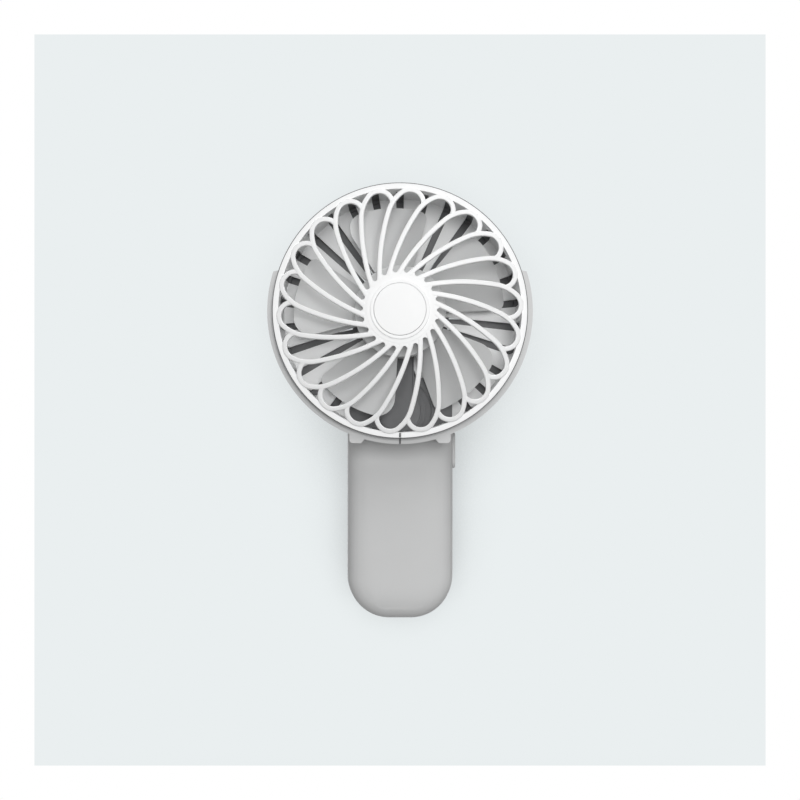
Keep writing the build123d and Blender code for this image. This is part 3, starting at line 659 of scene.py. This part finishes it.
# %% [markdown]
# ## Handle front
# In the photograph the handle darkens softly towards its long sides, so its front is crowned, not flat.
# The front shell is copied, cut into narrow strips along the rounded rim, and bent: seen in section,
# each point moves along a line through the crown's centre from the moulded slab onto a superellipse.
# All its openings move along with it, so they stay true.

# %% Crowned front shell
handle_half = 42.7 * mm / 2
handle_corner = 17.0 * mm
handle_edge = 4.2 * mm
half_thick = 9.8 * mm
crown_wide = 12.0 * mm
crown_power = 3
crown_top = hinge_height - 18 * mm
crown_fade = 14 * mm
seam_merge = 0.002 * mm
flat_limit = math.radians(0.6)
strip_width = 1.5 * mm
cut_reach = 0.0001 * mm
shell_edge = 0.12 * mm


def merged_copy(node):
    """A node's mesh with its loose triangles merged and its flat faces whole."""
    bm = bmesh.new()
    bm.from_mesh(nodes[node].data)
    bmesh.ops.remove_doubles(bm, verts=bm.verts, dist=seam_merge)
    bmesh.ops.dissolve_limit(bm, angle_limit=flat_limit, verts=bm.verts, edges=bm.edges)
    return bm


def rim_distance(x, z):
    """Distance of a front-view point from the handle's outline, and the way inwards."""
    centre_x = handle_half - handle_corner
    side = math.copysign(1, x)
    if z >= handle_corner:
        return handle_half - abs(x), Vector((-side, 0))
    if abs(x) <= centre_x:
        return z, Vector((0, 1))
    outwards = Vector((abs(x) - centre_x, z - handle_corner))
    inwards = -outwards.normalized()
    return handle_corner - outwards.length, Vector((inwards.x * side, inwards.y))


def slab_reach(angle):
    """From the crown's centre to the slab's rounded section, in a direction."""
    across, out = math.cos(angle), math.sin(angle)
    corner = Vector((crown_wide - handle_edge, half_thick - handle_edge))
    if across * half_thick <= out * corner.x:
        return half_thick / out
    if out * crown_wide <= across * corner.y:
        return crown_wide / across
    towards = corner.dot(Vector((across, out)))
    return towards + math.sqrt(towards ** 2 - corner.length_squared + handle_edge ** 2)


def crown_reach(angle):
    """From the crown's centre to the superellipse, in a direction."""
    across = math.cos(angle) / crown_wide
    out = math.sin(angle) / half_thick
    return (across ** crown_power + out ** crown_power) ** (-1 / crown_power)


def crown(bm):
    """Moves the points of the rounded rim from the slab onto the crown, less and less below the head."""
    seam = joints["head_fold"]["pos_m"][1]
    for vert in bm.verts:
        distance, inwards = rim_distance(vert.co.x, vert.co.z)
        out = max(0, seam - vert.co.y)
        if distance >= crown_wide:
            continue
        angle = math.atan2(out, crown_wide - distance)
        share = min(1, max(0, (crown_top + crown_fade - vert.co.z) / crown_fade))
        shrink = 1 + (crown_reach(angle) / slab_reach(angle) - 1) * share
        move = (crown_wide - distance) * (1 - shrink)
        vert.co += Vector((inwards.x * move, out * (1 - shrink), inwards.y * move))


def cut_strips(bm):
    """Cuts the shell into strips, so that its flat front can bend."""
    wide = int(crown_wide / strip_width)
    high = int(handle_corner / strip_width)
    offsets = [strip_width * step for step in range(1, wide + 1)]
    across = [side * (handle_half - offset) for side in (-1, 1) for offset in offsets]
    up = [strip_width * step for step in range(1, high + 1)]
    up += [crown_top, crown_top + crown_fade / 2]
    cuts = [((x, 0, 0), (1, 0, 0)) for x in across] + [((0, 0, z), (0, 0, 1)) for z in up]
    for point, normal in cuts:
        bmesh.ops.bisect_plane(bm, geom=bm.verts[:] + bm.edges[:] + bm.faces[:], dist=cut_reach,
                               plane_co=point, plane_no=normal)


front_shell = merged_copy("handle_front_shell")
soften(front_shell, shell_edge)
cut_strips(front_shell)
crown(front_shell)
as_piece("crowned_front", front_shell, "handle", "grey_plastic", "handle_front_shell", sharp=28, flat=False)

# %% [markdown]
# ## Pieces that keep their shape
# The basket, the drum, the cradle, the rear shell and the crank already have their shape. A copy with
# whole faces and a small round on every edge looks moulded instead of cut.

# %% Rounded edges
rounded = (
    ("slotted_basket", "rear_guard", "head", "white_plastic", 0.2 * mm),
    # The drum is dark plastic, its own colour; its thin front lip round the ring is dark too and draws a dark line
    # round the ring, which is painted shade for the shadow at the ring's edge.
    ("drum", "rear_cover", "head", "charcoal_plastic", 0.2 * mm),
    ("wire_cover", "lead_cover", "head", "charcoal_plastic", 0.15 * mm),
    ("cradle", "head_cradle", "head", "grey_plastic", 0.3 * mm),
    ("rear_shell", "handle_rear_shell", "handle", "grey_plastic", shell_edge),
    ("pin_caps", "hinge_caps", "handle", "grey_plastic", 0.2 * mm),
    ("crank_wheel", "crank_disc", "crank", "grey_plastic", 0.2 * mm),
    ("folding_peg", "crank_peg", "peg", "charcoal_plastic", 0.35 * mm),
    ("power_button", "side_button", "button", "grey_plastic", 0.2 * mm),
)
for name, node, body, slot, width in rounded:
    copy = merged_copy(node)
    soften(copy, width)
    as_piece(name, copy, body, slot, node)

# %% [markdown]
# ## Stage and light
# The photograph shows the fan before a square pale card on a white page, with a soft halo close round
# its outline. The card stands behind the fan and only the camera sees it, from the front, so it neither
# blocks the light nor hides the fan's back. The card glows evenly, and its halo is painted shade: an
# ambient occlusion node darkens the glow where the fan is near, with its normal tilted to one side. A
# white floor lies below, and keeps the fan's shadow.

# %% Card and floor
card_colour = (0.823, 0.863, 0.871)
card_gap = 3 * mm
card_half = 154 * mm
# Reach, tilt and strength of the painted shade that darkens the glowing card round the fan.
halo_reach = 40 * mm
halo_tilt = (0.35, -0.93, -0.1)
halo_depth = 0.62
halo_dark = 0.3
halo_clear = 0.87
floor_colour = (0.95, 0.95, 0.95, 1)
floor_drop = 90 * mm
floor_half = 150 * mm


def stage_plane(name, half, place, material):
    bm = bmesh.new()
    bmesh.ops.create_grid(bm, x_segments=1, y_segments=1, size=half)
    bmesh.ops.transform(bm, matrix=place, verts=bm.verts)
    mesh = bpy.data.meshes.new(name)
    bm.to_mesh(mesh)
    bm.free()
    mesh.materials.append(material)
    plane = bpy.data.objects.new(name, mesh)
    scene.collection.objects.link(plane)


def seen_only(name, paper_of):
    """A material that the camera sees and that light passes."""
    finish = new_finish(name, {})
    paper, share = paper_of(finish)
    seen = finish.node("LightPath", output="Is Camera Ray")
    clear = finish.node("BsdfTransparent")
    surface = finish.node("MixShader", None, {0: seen * share, 1: clear, 2: paper})
    finish.feed(finish.tree.nodes["Material Output"].inputs["Surface"], surface)
    return materials[name]


def card_paper(finish):
    # Painted shade: ambient occlusion darkens the card's even glow where the fan is near.
    open_air = finish.node("AmbientOcclusion", {"samples": 8},
                           {"Distance": halo_reach, "Normal": halo_tilt}, output="AO")
    light = halo_depth + (1 - halo_depth) * finish.between(open_air, halo_dark, halo_clear)
    paper = finish.node("Emission", None, {"Color": finish.tinted(card_colour, light)})
    return paper, 1 - finish.node("NewGeometry", output="Backfacing")


def floor_paper(finish):
    paper = finish.node("BsdfDiffuse", None, {"Color": floor_colour})
    return paper, 1


card_back = cad_box[1][1] + card_gap
card_place = Matrix.Translation((0, card_back, camera_height)) @ stand_up
stage_plane("card", card_half, card_place, seen_only("card_paper", card_paper))
floor_place = Matrix.Translation((0, card_back - floor_half, -floor_drop))
stage_plane("floor", floor_half, floor_place, seen_only("floor_paper", floor_paper))

# %% [markdown]
# The light is soft: a frontal softbox reaches into the head through the grille, a high one gives the
# handle its shade below the head, and an even fill comes from all round. The level is plain, so that a
# colour renders about as it is written. The camera and mirrors see a white room.

# %% Light
fill_level = 0.20
front_level = 0.52
high_level = 0.44
back_level = 0.55


def studio():
    world = bpy.data.worlds.new("studio")
    world.use_nodes = True
    scene.world = world
    room = Finish(world.node_tree)
    rays = ("Is Camera Ray", "Is Glossy Ray", "Is Transmission Ray")
    seen = sum(room.node("LightPath", output=ray) for ray in rays)
    fill = room.node("Background", None, {"Color": (1, 1, 1, 1), "Strength": fill_level})
    white = room.node("Background", None, {"Color": (1, 1, 1, 1), "Strength": 1.0})
    surface = room.node("MixShader", None, {0: seen, 1: fill, 2: white})
    room.feed(world.node_tree.nodes["World Output"].inputs["Surface"], surface)


def softbox(name, direction, distance, size, level):
    """A square light that looks at the fan. At level 1 a surface that faces it shows its own colour."""
    light = bpy.data.lights.new(name, "AREA")
    light.shape = "SQUARE"
    light.size = size
    light.energy = level * math.pi ** 2 * distance ** 2
    lamp = bpy.data.objects.new(name, light)
    target = Vector((0, 0, 0.1))
    lamp.location = target + distance * Vector(direction).normalized()
    lamp.rotation_euler = (target - lamp.location).to_track_quat("-Z", "Y").to_euler()
    scene.collection.objects.link(lamp)


studio()
softbox("front_softbox", (0.10, -1.0, 0.14), 0.9, 0.38, front_level)
softbox("high_softbox", (0.25, -0.6, 0.8), 0.9, 0.7, high_level)
softbox("back_softbox", (-0.3, 0.8, 0.5), 1.0, 1.0, back_level)
scene.view_settings.view_transform = "Standard"
